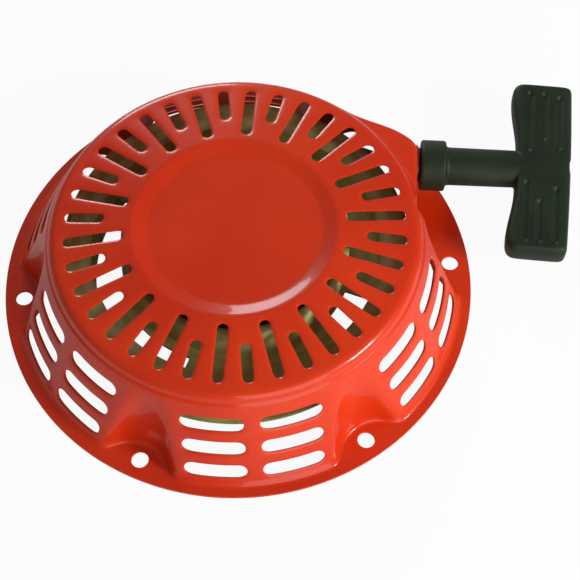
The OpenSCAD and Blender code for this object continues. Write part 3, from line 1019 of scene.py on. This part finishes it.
def bar_section(y, swell):
    """A ring of the bar at y: a box with round edges, drawn by a superellipse."""
    inner = bar_inner(y)
    outer = bar_outer(y)
    ring = []
    for k in range(section_points):
        turn = 2 * math.pi * k / section_points
        c = math.copysign(abs(math.cos(turn)) ** (2 / 7), math.cos(turn))
        s = math.copysign(abs(math.sin(turn)) ** (2 / 5), math.sin(turn))
        x = (inner + outer) / 2 + (outer - inner) / 2 * c
        ring.append(Vector((x, outlet_y + y, outlet_z + bar_t / 2 * s * swell)))
    return ring


bar = bmesh.new()
rim = bmesh.ops.create_circle(bar, segments=section_points, radius=1)["verts"]
ends = [half_bar * math.sin(math.radians(t)) for t in range(-90, 91, 3)]
ends[0] += 0.05
ends[-1] -= 0.05
for k, y in enumerate(ends):
    swell = math.sqrt(max(1 - (max(abs(y) - half_bar + end_round, 0) / end_round) ** 2, 0.1))
    ring = bar_section(y, swell)
    if k == 0:
        for vert, place in zip(rim, ring):
            vert.co = place
        close(bar, rim)
    else:
        rim = grow(bar, rim, ring)
close(bar, rim)
bmesh.ops.recalc_face_normals(bar, faces=bar.faces)
bar_middle = Vector((bar_x, outlet_y, outlet_z))
lie = Matrix.Rotation(math.radians(bar_roll), 4, "X") @ Matrix.Rotation(math.radians(bar_skew), 4, "Z")
bar_lie = Matrix.Translation(bar_middle) @ lie @ Matrix.Translation(-bar_middle)
bmesh.ops.transform(bar, matrix=bar_lie, verts=bar.verts)
print("bar:", len(bar.faces), "faces")

# %% Stem, collar and bores
stem_r = 9.75
collar_r = 13.0
collar_l = 13.0
stem_flat = 0.89
stem_wide = 1.1
core = 0.01
cord_bore_r = 2.8
cord_bore_end = stem_l + 22
knot_bore_r = 5.6
knot_bore_at = bar_end - 15
stem_outline = [(core, 0), (collar_r - 1.2, 0)] + arc(collar_r - 1.2, 1.2, 1.2, -90, 0, 4)
stem_outline += arc(collar_r - 1.0, collar_l - 1.0, 1.0, 0, 90, 4)
stem_outline += arc(stem_r + 1.4, collar_l + 1.4, 1.4, -90, -180, 4)
stem_outline += [(stem_r - 0.5, stem_l), (stem_r - 1.5, stem_l + 14), (core, stem_l + 14)]
stem = along_pull(spun(stem_outline), grip_x)
for vert in stem.verts:
    flatter = ease((vert.co.x - grip_x - collar_l - 4) / (stem_l - collar_l))
    vert.co.z = outlet_z + (vert.co.z - outlet_z) * lerp(1, stem_flat, flatter)
    vert.co.y = outlet_y + (vert.co.y - outlet_y) * lerp(1, stem_wide, flatter)
cord_bore = [(core, -1), (cord_bore_r, -1), (cord_bore_r, cord_bore_end), (core, cord_bore_end)]
bores = along_pull(spun(cord_bore), grip_x)
knot_bore = along_pull(spun([(core, 0), (knot_bore_r, 0), (knot_bore_r, 20), (core, 20)]), knot_bore_at)

stem_shape = to_object("stem_shape", stem)
cutters = [to_object("cord_bore", bores), to_object("knot_bore", knot_bore)]
joins = [("BOOLEAN", {"operation": "UNION", "object": stem_shape, "solver": "EXACT"})]
for cutter in cutters:
    joins.append(("BOOLEAN", {"operation": "DIFFERENCE", "object": cutter, "solver": "EXACT"}))
melt = [
    ("REMESH", {"mode": "VOXEL", "voxel_size": 0.55 * MM, "use_smooth_shade": True}),
    ("SMOOTH", {"factor": 0.5, "iterations": 6}),
]
grip = make("pull_grip", bar, grip_finish, joins + melt, sharp=180)
for thing in [stem_shape] + cutters:
    bpy.data.objects.remove(thing)

# %% Finger grooves
far_grooves = [(8.9, 9, 41.5), (16.4, 16, 41.5), (24.4, 11, 40)]
near_grooves = [(8.9, 11.5, 43), (16.0, 22, 43), (24.2, 14, 43)]
groove_half = 2.4
groove_depth = 1.4


def groove_press(x, y):
    """How deep the grooves are at a point of the bar's top."""
    deepest = 0.0
    for out, start, end in far_grooves if y > 0 else near_grooves:
        along = min(max(abs(y), start), end)
        away = math.hypot(x - out, abs(y) - along)
        deepest = max(deepest, 1 - ease(away / groove_half))
    return groove_depth * deepest


stand_up = bar_lie.inverted()
down = bar_lie.to_3x3() @ Vector((0, 0, -1))
for vert in grip.data.vertices:
    square = stand_up @ (vert.co / MM) - bar_middle
    if square.z > bar_t / 4 and square.x > 0:
        vert.co += down * MM * groove_press(square.x, square.y)
grip.data.update()
fit(grip, "grip", "grip_black", "grip")
print("grooves pressed")

# %% [markdown]
# ## Small machined parts
# The ratchets, their guide, the post, plate, screw and washers already have their true shape in
# the frame. Bare edges would look computed, so each is copied, its triangles are merged into
# flat faces, and a small bevel breaks every edge as tumbling or turning does.

# %% Break the edges of a node
def softened(name, node, body, slot, finish, width):
    bm = bmesh.new()
    bm.from_mesh(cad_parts[node].data)
    bmesh.ops.scale(bm, vec=(1 / MM, 1 / MM, 1 / MM), verts=bm.verts)
    bmesh.ops.remove_doubles(bm, verts=bm.verts, dist=0.001)
    bmesh.ops.dissolve_limit(bm, angle_limit=math.radians(0.5), verts=bm.verts, edges=bm.edges)
    bmesh.ops.recalc_face_normals(bm, faces=bm.faces)
    rounding = {"width": width * MM, "segments": 2, "limit_method": "ANGLE", "angle_limit": math.radians(35)}
    piece = make(name, bm, finish, [("BEVEL", rounding)])
    fit(piece, body, slot, node)


softened("ratchet_left", "ratchet_a", "ratchet_a", "ratchet_steel", ratchet_finish, 0.25)
softened("ratchet_right", "ratchet_b", "ratchet_b", "ratchet_steel", ratchet_finish, 0.25)
softened("guide_plate", "ratchet_guide", "ratchet_guide", "guide_plastic", guide_finish, 0.3)
softened("hex_screw", "set_screw", "case", "plated_steel", zinc_finish, 0.3)
softened("screw_washer", "set_washer", "case", "plated_steel", zinc_finish, 0.2)
softened("spring_post", "center_post", "case", "plated_steel", zinc_finish, 0.3)
softened("welded_plate", "post_plate", "case", "plated_steel", zinc_finish, 0.25)
softened("knot_washer", "grip_washer", "grip", "plated_steel", zinc_finish, 0.2)

# %% Springs keep the frame's shape
for node in ("recoil_spring", "ratchet_spring_a", "ratchet_spring_b", "friction_spring"):
    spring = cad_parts[node]
    spring.data.materials.clear()
    spring.data.materials.append(spring_finish)
print("springs finished")

# %% [markdown]
# ## Stage
# The part lies on its flange on a plain white floor. The camera sees the floor and the world as
# white through Light Path, so the background is white without more light on the object, and a
# share of the floor stays a plain diffuse surface that keeps a faint shadow. Transmission rays
# see the same white world. Glossy rays see only about a quarter of that white, which is meant to
# keep a pale veil off the red enamel.

# %% Floor
def floor_white():
    white = Finish("floor_white", base_color=tone(0.85, 0.85, 0.85), roughness=0.9)
    seen = white.add("ShaderNodeLightPath", output="Is Camera Ray")
    glow = white.add("ShaderNodeEmission", {}, {"Color": tone(1, 1, 1), "Strength": 1.0})
    diffuse = Wire(white, white.shader.outputs["BSDF"])
    mixed = white.add("ShaderNodeMixShader", {}, {0: seen * 0.93, 1: diffuse, 2: glow})
    white.tree.links.new(mixed.socket, white.tree.nodes["Material Output"].inputs["Surface"])
    return white.material


floor_bm = bmesh.new()
bmesh.ops.create_grid(floor_bm, x_segments=1, y_segments=1, size=20000)
bmesh.ops.translate(floor_bm, vec=(0, 0, -0.2), verts=floor_bm.verts)
floor = make("floor", floor_bm, floor_white())

# %% World
world = bpy.data.worlds.new("studio")
bpy.context.scene.world = world
world.use_nodes = True
sky = Nodes(world.node_tree)
background = sky.tree.nodes["Background"]
shown = sky.add("ShaderNodeLightPath", output="Is Camera Ray").larger(
    sky.add("ShaderNodeLightPath", output="Is Transmission Ray"))
mirrored = sky.add("ShaderNodeLightPath", output="Is Glossy Ray")
room_light = 0.22
glossy_share = 0.04
sky.put(background.inputs["Color"], tone(1, 1, 1))
sky.put(background.inputs["Strength"], shown * (1 - room_light) + mirrored * glossy_share + room_light)
print("world set")


# %% Soft boxes
def soft_box(name, place, watts, size):
    """A square lamp that faces the middle of the part."""
    light = bpy.data.lights.new(name, "AREA")
    light.energy = watts
    light.size = size
    lamp = bpy.data.objects.new(name, light)
    lamp.location = place
    lamp.rotation_euler = (Vector(place) - Vector((0.03, 0, 0.03))).to_track_quat("Z", "Y").to_euler()
    bpy.context.scene.collection.objects.link(lamp)


soft_box("box_back", (-0.3, 1.0, 0.45), 5.0, 0.4)
soft_box("box_front", (0.45, -0.95, 0.42), 5.0, 0.8)
soft_box("box_right", (0.84, -0.36, 0.56), 7.5, 0.24)
print("3 soft boxes")

# %% Camera
view_target = Vector((0.02777, -0.02074, 0.03025))
view_azimuth = math.radians(3.5)
view_elevation = math.radians(60.256)
view_distance = 0.7499
view_roll = math.radians(-0.39)
camera_data = bpy.data.cameras.new("camera")
camera_data.lens = 95.1
camera = bpy.data.objects.new("camera", camera_data)
back = Vector((
    math.sin(view_azimuth) * math.cos(view_elevation),
    -math.cos(view_azimuth) * math.cos(view_elevation),
    math.sin(view_elevation),
))
camera.location = view_target + back * view_distance
facing = back.to_track_quat("Z", "Y") @ Quaternion((0, 0, 1), view_roll)
camera.rotation_euler = facing.to_euler()
bpy.context.scene.collection.objects.link(camera)
bpy.context.scene.camera = camera
bpy.context.scene.view_settings.view_transform = "Standard"
print("camera at", [round(part, 3) for part in camera.location])
